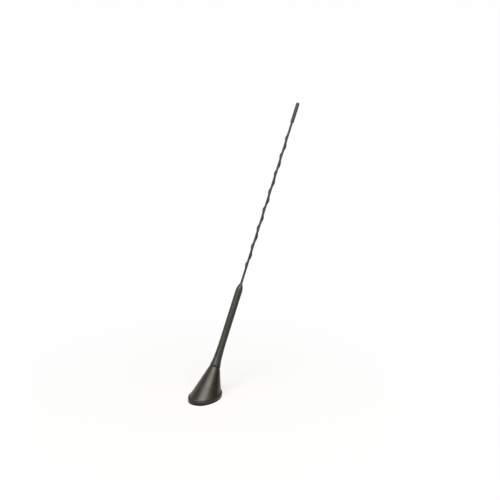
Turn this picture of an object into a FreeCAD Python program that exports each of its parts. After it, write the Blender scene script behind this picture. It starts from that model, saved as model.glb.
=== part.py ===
import FreeCAD, Part
import math
import os
from types import SimpleNamespace

import Sketcher
from FreeCAD import Placement, Rotation, Vector

# Vehicle roof antenna: an oval raked-cone base with a screw-in whip mast.
# Millimetres. The origin is the middle of the oval foot on the roof plane, +Z is up, and the
# mast leans back towards +X. The mast's axis passes through the origin.

SIZES = [
    # Foot, cover and gasket
    ("rake", 37.0, "lean of the mast from upright, degrees"),
    ("foot_length", 58.2, "oval foot along X"),
    ("foot_width", 40.8, "oval foot along Y"),
    ("rim_height", 3.4, "upright rim of the cover"),
    ("rim_ledge", 1.4, "how far the rim stands outside the cone"),
    ("rim_round", 0.9, "rounding of the rim's upper edge"),
    ("cover_wall", 2.2, "wall of the cover"),
    ("waist_share", 0.43, "place of the waist section along the cone's slope"),
    ("throat_share", 0.78, "place of the throat section along the cone's slope"),
    ("neck_reach", 42.4, "roof plane to neck face along the mast's axis"),
    ("neck_diameter", 15.6, "round neck face"),
    ("neck_chamfer", 0.3, "broken edges of neck and boot"),
    ("gasket_thickness", 1.8, "rubber gasket under the rim"),
    ("gasket_inset", 0.3, "gasket edge behind the rim"),
    ("tongue_width", 1.0, "locking tongue on the gasket"),
    ("tongue_height", 1.0, "height of the tongue"),
    ("tongue_play", 0.15, "gap round the tongue in the cover's groove"),
    # Screws that hold the plate in the cover
    ("screw_diameter", 3.0, "cover screw shank"),
    ("screw_head_diameter", 5.4, "cover screw head"),
    ("screw_head_height", 1.4, "cover screw head"),
    ("screw_reach", 3.6, "screw length in the boss"),
    ("screw_end_play", 0.4, "hole left past the screw's end"),
    ("screw_driver", 2.0, "hexagon recess across flats"),
    ("screw_boss_diameter", 6.4, "boss in the cover"),
    ("screw_boss_height", 4.5, "boss in the cover"),
    ("screw_share", 0.476, "screws' place along the plate's half length"),
    ("boss_gap", 1.5, "screw bosses to the jack's flange"),
    ("boss_bite", 0.6, "boss webs inside the cover's rim"),
    # Cast plate
    ("plate_gap", 0.3, "plate to cover all round"),
    ("plate_lift", 0.6, "plate's underside above the roof plane"),
    ("plate_thickness", 2.8, "cast plate"),
    ("bolt_bore", 5.0, "thread core of the roof bolt's hole"),
    ("bolt_depth", 8.0, "depth of the roof bolt's hole"),
    ("bolt_boss_diameter", 10.6, "boss round the roof bolt's hole"),
    ("bolt_boss_floor", 1.2, "metal over the bolt's hole"),
    ("washer_recess", 0.4, "recess for the earth washer"),
    ("washer_play", 0.2, "gap round the earth washer"),
    ("washer_diameter", 14.0, "earth washer over its teeth"),
    ("washer_bore", 7.0, "earth washer"),
    ("washer_thickness", 0.8, "earth washer"),
    ("tooth_depth", 1.3, "teeth of the earth washer"),
    ("tooth_count", 12.0, "teeth of the earth washer"),
    # Amplifier board and its parts
    ("board_edge", 2.2, "circuit board behind the spring's foot"),
    ("board_width", 16.0, "circuit board along Y"),
    ("board_thickness", 1.6, "circuit board"),
    ("board_corner", 2.0, "corner radius of the board"),
    ("board_height", 7.6, "board's underside above the plate"),
    ("board_front", 4.0, "board's front end ahead of the bolt"),
    ("post_diameter", 4.5, "posts under the board"),
    ("post_gap", 0.3, "posts to the rear bosses along X"),
    ("post_side", 6.0, "posts from the middle"),
    ("post_screw_diameter", 2.0, "board screws"),
    ("post_screw_head", 3.8, "board screw head"),
    ("post_screw_head_height", 1.2, "board screw head"),
    ("post_screw_length", 5.0, "board screw under its head"),
    ("chip_length", 5.0, "amplifier chip along X"),
    ("chip_width", 4.4, "amplifier chip along Y"),
    ("chip_height", 1.5, "amplifier chip"),
    ("coil_diameter", 4.4, "drum coil"),
    ("coil_height", 3.0, "drum coil"),
    ("coil_neck", 3.4, "winding of the drum coil"),
    ("coil_flange", 0.6, "flanges of the drum coil"),
    ("coil_side", 5.0, "coil from the middle"),
    ("coil_back", 3.2, "coil from the board's rear end"),
    ("capacitor_length", 2.0, "chip capacitor along Y"),
    ("capacitor_width", 1.2, "chip capacitor along X"),
    ("capacitor_height", 0.9, "chip capacitor"),
    ("capacitor_pitch", 3.0, "capacitor spacing"),
    ("capacitor_side", 5.4, "capacitors from the middle"),
    ("capacitor_gap", 1.2, "capacitors to the board screw's head"),
    # Coaxial jack in the plate
    ("jack_gap", 0.9, "jack's pin to the spring's foot"),
    ("jack_diameter", 7.0, "jack shell"),
    ("jack_bore", 5.2, "jack shell"),
    ("jack_flange_diameter", 8.4, "shell flange on the plate"),
    ("jack_flange_height", 1.0, "shell flange on the plate"),
    ("jack_recess", 0.4, "shell's mouth behind the plate's underside"),
    ("jack_depth", 4.5, "mouth to insulator"),
    ("jack_pin_diameter", 1.2, "centre pin"),
    ("jack_pin_recess", 1.4, "pin's end behind the shell's mouth"),
    ("jack_pin_tail", 0.7, "pin above the board"),
    # Mast thread and seal
    ("stud_diameter", 5.0, "threaded stud under the mast"),
    ("stud_length", 9.0, "stud under the mast's shoulder"),
    ("stud_chamfer", 0.6, "lead-in of the stud"),
    ("socket_diameter", 9.0, "threaded insert in the neck"),
    ("socket_length", 12.0, "insert below the neck face"),
    ("socket_nose", 0.5, "insert's lower end inside the hollow"),
    ("socket_head_diameter", 11.0, "head of the insert"),
    ("socket_head_height", 1.2, "head of the insert"),
    ("socket_depth", 10.0, "threaded bore"),
    ("stub_diameter", 4.0, "contact stub under the insert"),
    ("stub_length", 2.5, "contact stub under the insert"),
    ("strip_thickness", 0.4, "contact spring"),
    ("strip_width", 3.0, "contact spring"),
    ("strip_tongue", 2.4, "half length of the spring's tongue"),
    ("strip_foot_front", 2.8, "spring foot ahead of the stub"),
    ("strip_foot_back", 1.0, "spring foot behind the stub"),
    ("strip_bow", 1.6, "bow of the spring"),
    ("seal_diameter", 12.4, "rubber ring under the boot"),
    ("seal_thickness", 0.9, "rubber ring under the boot"),
    # Mast, measured along its axis from the neck face
    ("mast_length", 398.5, "neck face to tip"),
    ("collar_diameter", 14.5, "straight collar of the boot"),
    ("collar_height", 2.5, "straight collar of the boot"),
    ("flare_diameter", 11.2, "boot where the two flare curves meet"),
    ("flare_start", 14.9, "station where the two flare curves meet"),
    ("flare_end", 42.0, "station where the flare runs out"),
    ("boot_diameter", 9.5, "straight boot"),
    ("boot_shoulder", 110.4, "station where the boot's nose starts"),
    ("boot_end", 121.8, "boot's upper end"),
    ("boot_mouth", 4.2, "boot's upper end, diameter"),
    ("ferrule_flange", 10.0, "ferrule's foot, diameter"),
    ("ferrule_flange_height", 4.0, "ferrule's foot"),
    ("ferrule_diameter", 7.2, "ferrule's barrel"),
    ("ferrule_end", 34.0, "station of the ferrule's upper end"),
    ("ferrule_depth", 24.0, "rod's bore in the ferrule"),
    ("rod_diameter", 2.0, "steel conductor"),
    ("rod_chamfer", 0.3, "ends of the conductor"),
    ("jacket_diameter", 3.2, "plain jacket of the whip"),
    ("jacket_lap", 2.0, "jacket inside the tip cap"),
    ("rib_lead", 19.7, "plain jacket between the boot and the spiral rib"),
    ("rib_tail", 17.3, "plain jacket between the spiral rib and the tip cap"),
    ("rib_pitch", 27.6, "rib's rise in one turn"),
    ("rib_height", 1.15, "rib over the jacket"),
    ("rib_width", 2.4, "rib's foot"),
    ("rib_crest", 1.0, "rib's crest"),
    ("rib_runout", 6.0, "length over which the rib fades"),
    ("rib_phase", 230.7, "rib's angle at its start, degrees"),
    ("cap_length", 31.2, "tip cap"),
    ("cap_diameter", 5.1, "tip cap"),
    ("cap_chamfer", 0.35, "lower edge of the tip cap"),
    ("cap_depth", 24.0, "rod inside the tip cap"),
    # Clearances
    ("push_fit", 0.05, "radial gap of pieces pushed or moulded together"),
    ("thread_fit", 0.04, "radial gap between stud and insert"),
    ("seal_fit", 0.1, "radial gap between stud and rubber ring"),
    ("end_play", 0.2, "gap past the end of a rod or tube in its seat"),
    ("hole_play", 0.2, "radial gap round screws and the jack in their holes"),
]

doc = FreeCAD.newDocument("roof_antenna")
sheet = doc.addObject("Spreadsheet::Sheet", "Sizes")
for row, (alias, number, note) in enumerate(SIZES, 1):
    sheet.set(f"A{row}", note)
    sheet.set(f"B{row}", str(number))
    sheet.setAlias(f"B{row}", alias)
doc.recompute()


class Size:
    """A number together with the sheet expression that it comes from."""

    def __init__(self, value, text):
        self.value = value
        self.text = text

    def join(self, other, sign, value):
        return Size(value, f"({self.text} {sign} {other.text})")

    def __add__(self, other):
        other = size(other)
        return self.join(other, "+", self.value + other.value)

    def __sub__(self, other):
        other = size(other)
        return self.join(other, "-", self.value - other.value)

    def __mul__(self, other):
        other = size(other)
        return self.join(other, "*", self.value * other.value)

    def __truediv__(self, other):
        other = size(other)
        return self.join(other, "/", self.value / other.value)

    def __neg__(self):
        return Size(-self.value, f"(-1 * {self.text})")

    def __rmul__(self, other):
        return size(other) * self

    def __radd__(self, other):
        return size(other) + self

    def __rsub__(self, other):
        return size(other) - self


def size(number):
    return number if isinstance(number, Size) else Size(float(number), str(number))


def sine(angle):
    return Size(math.sin(math.radians(angle.value)), f"sin({angle.text})")


def cosine(angle):
    return Size(math.cos(math.radians(angle.value)), f"cos({angle.text})")


def hypotenuse(across, along):
    square = across * across + along * along
    return Size(math.sqrt(square.value), f"sqrt({square.text})")


def other_leg(slant, leg):
    square = slant * slant - leg * leg
    return Size(math.sqrt(square.value), f"sqrt({square.text})")


def arctangent(rise, run):
    slope = rise / run
    return Size(math.degrees(math.atan(slope.value)), f"atan({slope.text})")


d = SimpleNamespace(**{alias: Size(sheet.get(alias), f"Sizes.{alias}") for alias, _, _ in SIZES})


def bind(item, path, length):
    item.setExpression(path, size(length).text)


def new_body(label):
    body = doc.addObject("PartDesign::Body", label)
    body.Label = label
    body.AllowCompound = True
    return body


def new_sketch(body, name, plane="XY_Plane", lift=None):
    sketch = body.newObject("Sketcher::SketchObject", name)
    support = next(f for f in body.Origin.OriginFeatures if f.Role == plane)
    sketch.AttachmentSupport = (support, [""])
    sketch.MapMode = "FlatFace"
    if lift is not None:
        bind(sketch, "AttachmentOffset.Base.z", lift)
    return sketch


def new_tilted_sketch(body, name, x, z, tilt):
    """A sketch whose middle lies at x, z in the plane of symmetry, turned about Y."""
    sketch = new_sketch(body, name)
    sketch.AttachmentOffset = Placement(Vector(x.value, 0, z.value), Rotation(Vector(0, 1, 0), tilt.value))
    bind(sketch, "AttachmentOffset.Base.x", x)
    bind(sketch, "AttachmentOffset.Base.z", z)
    bind(sketch, "AttachmentOffset.Rotation.Angle", tilt)
    return sketch


def fix_point(sketch, curve, end, x, y):
    """Ties a point to its distances from the sketch's origin."""
    for kind, axis, length in (("DistanceX", -2, x), ("DistanceY", -1, y)):
        if isinstance(length, Size):
            number = sketch.addConstraint(Sketcher.Constraint(kind, -1, 1, curve, end, length.value))
            bind(sketch, f"Constraints[{number}]", length)
        else:
            sketch.addConstraint(Sketcher.Constraint("PointOnObject", curve, end, axis))


def arc_between(start, end, radius, side):
    """The short arc from start to end; side is +1 if its centre lies on the left."""
    chord = end - start
    left = Vector(-chord.y, chord.x, 0).normalize()
    middle = (start + end) * 0.5
    centre = middle + left * side * math.sqrt(radius**2 - chord.Length**2 / 4)
    angles = [math.atan2(p.y - centre.y, p.x - centre.x) for p in (start, end)]
    if side < 0:
        angles.reverse()
    return Part.ArcOfCircle(Part.Circle(centre, Vector(0, 0, 1), radius), *angles)


def draw_outline(sketch, corners, arcs=None):
    """A closed outline; arcs gives radius and side of the arcs that leave the numbered corners."""
    arcs = arcs or {}
    points = [Vector(size(x).value, size(y).value, 0) for x, y in corners]
    pieces = []
    for number, start in enumerate(points):
        end = points[(number + 1) % len(points)]
        if number in arcs:
            radius, side = arcs[number]
            curve = sketch.addGeometry(arc_between(start, end, radius.value, side))
            tie = sketch.addConstraint(Sketcher.Constraint("Radius", curve, radius.value))
            bind(sketch, f"Constraints[{tie}]", radius)
            pieces.append((curve, 1, 2) if side > 0 else (curve, 2, 1))
        else:
            pieces.append((sketch.addGeometry(Part.LineSegment(start, end)), 1, 2))
    for number, (curve, first, _) in enumerate(pieces):
        before, _, last = pieces[number - 1]
        sketch.addConstraint(Sketcher.Constraint("Coincident", before, last, curve, first))
        fix_point(sketch, curve, first, *corners[number])


def draw_circle(sketch, radius, x=0, y=0):
    centre = Vector(size(x).value, size(y).value, 0)
    curve = sketch.addGeometry(Part.Circle(centre, Vector(0, 0, 1), radius.value))
    fix_point(sketch, curve, 3, x, y)
    tie = sketch.addConstraint(Sketcher.Constraint("Radius", curve, radius.value))
    bind(sketch, f"Constraints[{tie}]", radius)


def oval_arcs(along, across):
    """Radii of a four-arc oval's end and side arcs."""
    diagonal = hypotenuse(along, across)
    short = (diagonal - along + across) / 2
    return short * diagonal / along, (diagonal - short) * diagonal / across


def oval_side(along, across, inset, x):
    """Half width of an oval's parallel at a place along its side arc."""
    _, side_radius = oval_arcs(along, across)
    return other_leg(side_radius - inset, x) - (side_radius - across)


def draw_oval(sketch, along, across, inset=0):
    """A four-arc oval round the sketch's origin, or one drawn parallel inside it."""
    end_radius, side_radius = oval_arcs(along, across)
    share = (end_radius - inset) / (side_radius - end_radius)
    joint_x = (along - end_radius) * (1 + share)
    joint_y = (side_radius - across) * share
    ends, sides = (end_radius - inset, 1), (side_radius - inset, 1)
    corners = [(joint_x, -joint_y), (joint_x, joint_y), (-joint_x, joint_y), (-joint_x, -joint_y)]
    draw_outline(sketch, corners, {0: ends, 1: sides, 2: ends, 3: sides})


def draw_quartered_circle(sketch, radius):
    """A circle in four arcs, to meet the four arcs of an oval."""
    joint = radius * math.sqrt(0.5)
    corners = [(joint, -joint), (joint, joint), (-joint, joint), (-joint, -joint)]
    draw_outline(sketch, corners, {number: (radius, 1) for number in range(4)})


def draw_box(sketch, x, y, along, across):
    """A rectangle with its middle at x, y."""
    left, right = x - along / 2, x + along / 2
    low, high = y - across / 2, y + across / 2
    draw_outline(sketch, [(left, low), (right, low), (right, high), (left, high)])


def add_pad(body, sketch, length, down=False):
    pad = body.newObject("PartDesign::Pad", "Pad")
    pad.Profile = sketch
    pad.Reversed = down
    bind(pad, "Length", length)
    doc.recompute()
    return pad


def add_pocket(body, sketch, depth, up=False):
    """A cut that goes down from its sketch, or up."""
    before = body.Shape.Volume
    pocket = body.newObject("PartDesign::Pocket", "Pocket")
    pocket.Profile = sketch
    pocket.Reversed = up
    bind(pocket, "Length", depth)
    doc.recompute()
    if body.Shape.Volume >= before - 1e-6:
        raise RuntimeError(f"{body.Label}: {sketch.Name} cuts nothing")
    return pocket


def add_revolution(body, sketch):
    turned = body.newObject("PartDesign::Revolution", "Revolution")
    turned.Profile = sketch
    turned.ReferenceAxis = (sketch, ["V_Axis"])
    turned.Angle = 360
    doc.recompute()
    return turned


def add_loft(body, kind, sketches):
    loft = body.newObject(f"PartDesign::{kind}", kind)
    loft.Profile = sketches[0]
    loft.Sections = [(sketch, [""]) for sketch in sketches[1:]]
    loft.Ruled = False
    doc.recompute()
    return loft


def add_dressup(body, kind, length_name, length, chosen):
    """Rounds or bevels the edges of the body's tip that pass the test."""
    base = body.Tip
    names = [f"Edge{n}" for n, edge in enumerate(base.Shape.Edges, 1) if chosen(edge)]
    if not names:
        raise RuntimeError(f"{body.Label}: no edge to dress")
    feature = body.newObject(f"PartDesign::{kind}", kind)
    feature.Base = (base, names)
    bind(feature, length_name, length)
    doc.recompute()
    return feature


def add_fillet(body, radius, chosen):
    return add_dressup(body, "Fillet", "Radius", radius, chosen)


def add_chamfer(body, width, chosen):
    return add_dressup(body, "Chamfer", "Size", width, chosen)


def turned_piece(label, corners, arcs=None):
    """A body turned about its own Z from a half section of radius and height."""
    body = new_body(label)
    section = new_sketch(body, f"{label}_section", "XZ_Plane")
    draw_outline(section, corners, arcs)
    add_revolution(body, section)
    return body


def set_on_mast(item):
    """Puts a piece drawn along Z on the mast's axis, with its zero at the neck face."""
    spot = Vector(neck_x.value, 0, neck_z.value)
    item.Placement = Placement(spot, Rotation(Vector(0, 1, 0), d.rake.value))
    bind(item, "Placement.Base.x", neck_x)
    bind(item, "Placement.Base.z", neck_z)
    bind(item, "Placement.Rotation.Angle", d.rake)
    return item


def set_at(item, x):
    item.Placement = Placement(Vector(x.value, 0, 0), Rotation())
    bind(item, "Placement.Base.x", x)
    return item


parts = []

# Shared places, from the roof plane up
neck_x = d.neck_reach * sine(d.rake)
neck_z = d.neck_reach * cosine(d.rake)
neck_radius = d.neck_diameter / 2
rim_bottom = d.gasket_thickness
rim_top = rim_bottom + d.rim_height
rim_along, rim_across = d.foot_length / 2, d.foot_width / 2
cone_along, cone_across = rim_along - d.rim_ledge, rim_across - d.rim_ledge
inner_inset = d.rim_ledge + d.cover_wall
inner_along, inner_across = rim_along - inner_inset, rim_across - inner_inset
plate_along, plate_across = inner_along - d.plate_gap, inner_across - d.plate_gap
plate_top = d.plate_lift + d.plate_thickness
board_bottom = plate_top + d.board_height
board_top = board_bottom + d.board_thickness
stub_reach = d.neck_reach - d.socket_length - d.stub_length
stub_x = stub_reach * sine(d.rake)
board_rear = stub_x + d.strip_foot_back + d.board_edge
pin_radius = d.jack_pin_diameter / 2
jack_x = stub_x - d.strip_foot_front - d.jack_gap - pin_radius
boss_radius = d.screw_boss_diameter / 2
tongue_inset = inner_inset / 2

# The cone's front and rear lines in the plane of symmetry, from the ledge to the neck's edge
neck_front_x = neck_x - neck_radius * cosine(d.rake)
neck_front_z = neck_z + neck_radius * sine(d.rake)
neck_rear_x = neck_x + neck_radius * cosine(d.rake)
neck_rear_z = neck_z - neck_radius * sine(d.rake)


def cone_section(share):
    """Middle, tilt and half axes of the cone at a share of its slope."""
    front_x = share * (neck_front_x + cone_along) - cone_along
    front_z = share * (neck_front_z - rim_top) + rim_top
    rear_x = share * (neck_rear_x - cone_along) + cone_along
    rear_z = share * (neck_rear_z - rim_top) + rim_top
    return SimpleNamespace(
        x=(front_x + rear_x) / 2,
        z=(front_z + rear_z) / 2,
        tilt=arctangent(front_z - rear_z, rear_x - front_x),
        along=hypotenuse(rear_x - front_x, front_z - rear_z) / 2,
        across=cone_across - share * (cone_across - neck_radius),
    )


waist = cone_section(d.waist_share)
throat = cone_section(d.throat_share)
rim_reach = rim_top / cosine(d.rake)
roof_reach = d.neck_reach - d.socket_length + d.socket_nose
roof = cone_section((roof_reach - rim_reach) / (d.neck_reach - rim_reach))

# Screw places: two on each side of the bolt, clear of the jack
screw_x = plate_along * d.screw_share
screw_y = d.jack_flange_diameter / 2 + d.boss_gap + boss_radius
screw_places = [(x, y) for x in (screw_x, -screw_x) for y in (screw_y, -screw_y)]
post_x = screw_x - boss_radius - d.post_gap - d.post_diameter / 2

# Cover: upright rim and raked cone, hollow from below
cover = new_body("base_cover")
rim_sketch = new_sketch(cover, "rim", lift=rim_bottom)
draw_oval(rim_sketch, rim_along, rim_across)
add_pad(cover, rim_sketch, d.rim_height)
foot_sketch = new_sketch(cover, "cone_foot", lift=rim_top)
draw_oval(foot_sketch, rim_along, rim_across, d.rim_ledge)
waist_sketch = new_tilted_sketch(cover, "cone_waist", waist.x, waist.z, waist.tilt)
draw_oval(waist_sketch, waist.along, waist.across)
throat_sketch = new_tilted_sketch(cover, "cone_throat", throat.x, throat.z, throat.tilt)
draw_oval(throat_sketch, throat.along, throat.across)
neck_sketch = new_tilted_sketch(cover, "cone_neck", neck_x, neck_z, d.rake)
draw_quartered_circle(neck_sketch, neck_radius)
add_loft(cover, "AdditiveLoft", [foot_sketch, waist_sketch, throat_sketch, neck_sketch])


def along_edge(edge, test):
    """True if the test holds at five places along an edge."""
    first, last = edge.FirstParameter, edge.LastParameter
    return all(test(edge.valueAt(first + (last - first) * n / 4)) for n in range(5))


def on_rim(edge):
    """The rim's upper edge: level with the ledge and reaching the full foot."""
    box = edge.BoundBox
    wide = max(abs(box.XMin), abs(box.XMax)) / rim_along.value
    deep = max(abs(box.YMin), abs(box.YMax)) / rim_across.value
    level = along_edge(edge, lambda p: abs(p.z - rim_top.value) < 1e-3)
    return level and max(wide, deep) > 1 - 1e-3


def on_neck(edge):
    middle = Vector(neck_x.value, 0, neck_z.value)
    return along_edge(edge, lambda p: abs((p - middle).Length - neck_radius.value) < 1e-3)


add_fillet(cover, d.rim_round, on_rim)
add_chamfer(cover, d.neck_chamfer, on_neck)

well_sketch = new_sketch(cover, "well", lift=rim_bottom)
draw_oval(well_sketch, rim_along, rim_across, inner_inset)
add_pocket(cover, well_sketch, d.rim_height, up=True)
hollow_foot = new_sketch(cover, "hollow_foot", lift=rim_top)
draw_oval(hollow_foot, rim_along, rim_across, inner_inset)
hollow_waist = new_tilted_sketch(cover, "hollow_waist", waist.x, waist.z, waist.tilt)
draw_oval(hollow_waist, waist.along, waist.across, d.cover_wall)
hollow_roof = new_tilted_sketch(cover, "hollow_roof", roof.x, roof.z, roof.tilt)
draw_oval(hollow_roof, roof.along, roof.across, d.cover_wall)
add_loft(cover, "SubtractiveLoft", [hollow_foot, hollow_waist, hollow_roof])

# Bosses for the screws, each with a low web that runs into the rim
def wall_at(x):
    return oval_side(rim_along, rim_across, inner_inset - d.boss_bite, x)


web_sketch = new_sketch(cover, "boss_webs", lift=plate_top)
for x in (screw_x, -screw_x):
    left, right = x - boss_radius, x + boss_radius
    draw_outline(
        web_sketch,
        [(right, screw_y), (right, wall_at(right)), (left, wall_at(left)), (left, screw_y)],
    )
    draw_outline(
        web_sketch,
        [(left, -screw_y), (left, -wall_at(left)), (right, -wall_at(right)), (right, -screw_y)],
    )
add_pad(cover, web_sketch, rim_top - plate_top)
boss_sketch = new_sketch(cover, "bosses", lift=plate_top)
for x, y in screw_places:
    draw_circle(boss_sketch, boss_radius, x, y)
add_pad(cover, boss_sketch, d.screw_boss_height)
pilot_sketch = new_sketch(cover, "pilot_holes", lift=plate_top)
for x, y in screw_places:
    draw_circle(pilot_sketch, d.screw_diameter / 2 + d.push_fit, x, y)
add_pocket(cover, pilot_sketch, d.screw_reach + d.screw_end_play, up=True)

# Groove for the gasket's tongue, and the seat of the threaded insert
groove_sketch = new_sketch(cover, "gasket_groove", lift=rim_bottom)
groove_half = d.tongue_width / 2 + d.tongue_play
draw_oval(groove_sketch, rim_along, rim_across, tongue_inset - groove_half)
draw_oval(groove_sketch, rim_along, rim_across, tongue_inset + groove_half)
add_pocket(cover, groove_sketch, d.tongue_height + d.tongue_play, up=True)
seat_sketch = new_tilted_sketch(cover, "insert_hole", neck_x, neck_z, d.rake)
draw_circle(seat_sketch, d.socket_diameter / 2 + d.push_fit)
add_pocket(cover, seat_sketch, d.socket_length + d.stub_length)
head_sketch = new_tilted_sketch(cover, "insert_head_seat", neck_x, neck_z, d.rake)
draw_circle(head_sketch, d.socket_head_diameter / 2 + d.push_fit)
add_pocket(cover, head_sketch, d.socket_head_height)
parts.append(cover)

# Gasket: oval rubber ring with a tongue that locks into the cover
gasket = new_body("base_gasket")
gasket_sketch = new_sketch(gasket, "gasket_ring")
draw_oval(gasket_sketch, rim_along, rim_across, d.gasket_inset)
draw_oval(gasket_sketch, rim_along, rim_across, inner_inset)
add_pad(gasket, gasket_sketch, d.gasket_thickness)
tongue_sketch = new_sketch(gasket, "tongue", lift=d.gasket_thickness)
tongue_half = d.tongue_width / 2
draw_oval(tongue_sketch, rim_along, rim_across, tongue_inset - tongue_half)
draw_oval(tongue_sketch, rim_along, rim_across, tongue_inset + tongue_half)
add_pad(gasket, tongue_sketch, d.tongue_height)
parts.append(gasket)

# Plate: zinc casting with a blind threaded boss for the roof bolt and posts for the board
plate = new_body("base_plate")
plate_sketch = new_sketch(plate, "plate_outline", lift=d.plate_lift)
draw_oval(plate_sketch, rim_along, rim_across, inner_inset + d.plate_gap)
add_pad(plate, plate_sketch, d.plate_thickness)
bolt_boss_sketch = new_sketch(plate, "bolt_boss", lift=plate_top)
draw_circle(bolt_boss_sketch, d.bolt_boss_diameter / 2)
bolt_mouth = d.plate_lift + d.washer_recess
add_pad(plate, bolt_boss_sketch, bolt_mouth + d.bolt_depth + d.bolt_boss_floor - plate_top)
post_places = [(post_x, d.post_side), (post_x, -d.post_side)]
post_sketch = new_sketch(plate, "posts", lift=plate_top)
for x, y in post_places:
    draw_circle(post_sketch, d.post_diameter / 2, x, y)
add_pad(plate, post_sketch, d.board_height)
post_hole_sketch = new_sketch(plate, "post_holes", lift=board_bottom)
for x, y in post_places:
    draw_circle(post_hole_sketch, d.post_screw_diameter / 2 + d.push_fit, x, y)
add_pocket(plate, post_hole_sketch, d.post_screw_length - d.board_thickness + d.screw_end_play)
recess_sketch = new_sketch(plate, "washer_recess", lift=d.plate_lift)
draw_circle(recess_sketch, d.washer_diameter / 2 + d.washer_play)
add_pocket(plate, recess_sketch, d.washer_recess, up=True)
bolt_sketch = new_sketch(plate, "bolt_hole", lift=bolt_mouth)
draw_circle(bolt_sketch, d.bolt_bore / 2)
add_pocket(plate, bolt_sketch, d.bolt_depth, up=True)
hole_sketch = new_sketch(plate, "through_holes", lift=plate_top)
draw_circle(hole_sketch, d.jack_diameter / 2 + d.hole_play, jack_x, 0)
for x, y in screw_places:
    draw_circle(hole_sketch, d.screw_diameter / 2 + d.hole_play, x, y)
add_pocket(plate, hole_sketch, d.plate_thickness)
counterbore_sketch = new_sketch(plate, "screw_head_seats", lift=d.plate_lift)
for x, y in screw_places:
    draw_circle(counterbore_sketch, d.screw_head_diameter / 2 + d.hole_play, x, y)
screw_seat = d.screw_head_height + d.end_play
add_pocket(plate, counterbore_sketch, screw_seat, up=True)
parts.append(plate)

# Earth washer: a flat ring with cut teeth, in the plate's recess
washer = new_body("earth_washer")
washer_radius = d.washer_diameter / 2
washer_bottom = bolt_mouth - d.washer_thickness
washer_sketch = new_sketch(washer, "ring", lift=washer_bottom)
draw_circle(washer_sketch, washer_radius)
draw_circle(washer_sketch, d.washer_bore / 2)
add_pad(washer, washer_sketch, d.washer_thickness)
notch_sketch = new_sketch(washer, "notch", lift=washer_bottom)
notch_half = d.tooth_depth / 2
draw_outline(
    notch_sketch,
    [
        (washer_radius - d.tooth_depth, 0),
        (washer_radius + d.tooth_depth, -notch_half - notch_half),
        (washer_radius + d.tooth_depth, notch_half + notch_half),
    ],
)
notch = add_pocket(washer, notch_sketch, d.washer_thickness, up=True)
ring_of_teeth = washer.newObject("PartDesign::PolarPattern", "teeth")
ring_of_teeth.Originals = [notch]
ring_of_teeth.Axis = (notch_sketch, ["N_Axis"])
ring_of_teeth.Angle = 360
bind(ring_of_teeth, "Occurrences", d.tooth_count)
washer.Tip = ring_of_teeth
doc.recompute()
parts.append(washer)

# Cover screws: four pan heads in the plate's seats, with hexagon recesses
screws = new_body("cover_screws")
head_bottom = d.plate_lift + d.end_play
shank_sketch = new_sketch(screws, "shanks", lift=head_bottom)
for x, y in screw_places:
    draw_circle(shank_sketch, d.screw_diameter / 2, x, y)
add_pad(screws, shank_sketch, plate_top - head_bottom + d.screw_reach)
heads_sketch = new_sketch(screws, "heads", lift=head_bottom)
for x, y in screw_places:
    draw_circle(heads_sketch, d.screw_head_diameter / 2, x, y)
add_pad(screws, heads_sketch, d.screw_head_height)
driver_sketch = new_sketch(screws, "recesses", lift=head_bottom)
driver_radius = d.screw_driver / math.sqrt(3)
for x, y in screw_places:
    turns = [math.radians(60 * n) for n in range(6)]
    draw_outline(
        driver_sketch,
        [(x + driver_radius * math.cos(a), size(y) + driver_radius * math.sin(a)) for a in turns],
    )
add_pocket(screws, driver_sketch, d.screw_head_height, up=True)
parts.append(screws)

# Amplifier board on the posts, with its screws and parts
board = new_body("amplifier_board")
board_sketch = new_sketch(board, "board_outline", lift=board_bottom)
board_half = d.board_width / 2
corner = d.board_corner
draw_outline(
    board_sketch,
    [
        (corner - d.board_front, -board_half),
        (board_rear - corner, -board_half),
        (board_rear, corner - board_half),
        (board_rear, board_half - corner),
        (board_rear - corner, board_half),
        (corner - d.board_front, board_half),
        (-d.board_front, board_half - corner),
        (-d.board_front, corner - board_half),
    ],
    {1: (corner, 1), 3: (corner, 1), 5: (corner, 1), 7: (corner, 1)},
)
for x, y in post_places:
    draw_circle(board_sketch, d.post_screw_diameter / 2 + d.hole_play, x, y)
draw_circle(board_sketch, d.jack_pin_diameter / 2 + d.push_fit, jack_x, 0)
add_pad(board, board_sketch, d.board_thickness)
parts.append(board)

board_screws = new_body("board_screws")
board_shank_sketch = new_sketch(board_screws, "shanks", lift=board_top)
board_head_sketch = new_sketch(board_screws, "heads", lift=board_top)
for x, y in post_places:
    draw_circle(board_shank_sketch, d.post_screw_diameter / 2, x, y)
    draw_circle(board_head_sketch, d.post_screw_head / 2, x, y)
add_pad(board_screws, board_shank_sketch, d.post_screw_length, down=True)
add_pad(board_screws, board_head_sketch, d.post_screw_head_height)
parts.append(board_screws)

chip = new_body("amplifier_chip")
chip_sketch = new_sketch(chip, "chip_outline", lift=board_top)
draw_box(chip_sketch, d.chip_length / 2 - d.board_front / 2, size(0), d.chip_length, d.chip_width)
add_pad(chip, chip_sketch, d.chip_height)
parts.append(chip)

coil_x = board_rear - d.coil_back
coil = turned_piece(
    "input_coil",
    [
        (0, board_top),
        (d.coil_diameter / 2, board_top),
        (d.coil_diameter / 2, board_top + d.coil_flange),
        (d.coil_neck / 2, board_top + d.coil_flange),
        (d.coil_neck / 2, board_top + d.coil_height - d.coil_flange),
        (d.coil_diameter / 2, board_top + d.coil_height - d.coil_flange),
        (d.coil_diameter / 2, board_top + d.coil_height),
        (0, board_top + d.coil_height),
    ],
)
set_at(coil, coil_x)
bind(coil, "Placement.Base.y", d.coil_side)
parts.append(coil)

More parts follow.
